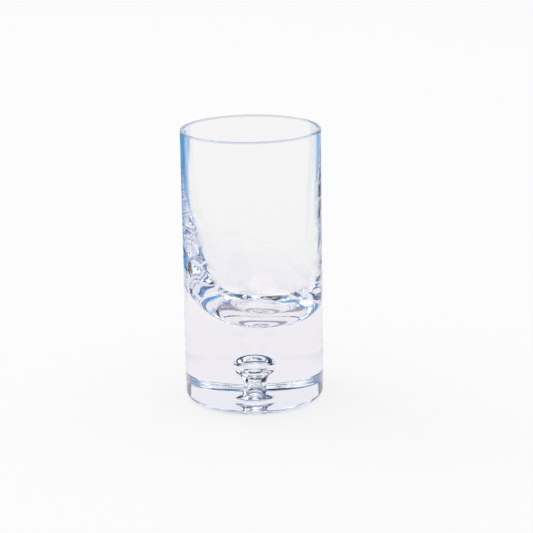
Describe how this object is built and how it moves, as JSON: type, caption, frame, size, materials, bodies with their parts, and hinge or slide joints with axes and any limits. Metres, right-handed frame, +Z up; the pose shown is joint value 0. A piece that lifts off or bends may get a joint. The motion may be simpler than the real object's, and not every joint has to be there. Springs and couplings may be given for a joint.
{
  "type": "shot glass",
  "caption": "Tall straight-sided clear shot glass with a rounded bowl and a heavy solid base that holds an air bubble.",
  "frame": {"origin": "centre of the flat underside", "axes": "+Z up along the glass's axis; the bowl's floor leans slightly towards +X"},
  "size_m": [0.0426, 0.0426, 0.0836],
  "materials": {
    "clear_glass": "clear, fire-polished, very slightly lilac",
    "polished_base": "clear, ground and polished flat",
    "trapped_air": "air seen through the glass as a bright bubble"
  },
  "bodies": {
    "root": {"glass_body": "clear_glass", "base_layer": "polished_base", "air_bubble": "trapped_air"}
  },
  "joints": []
}
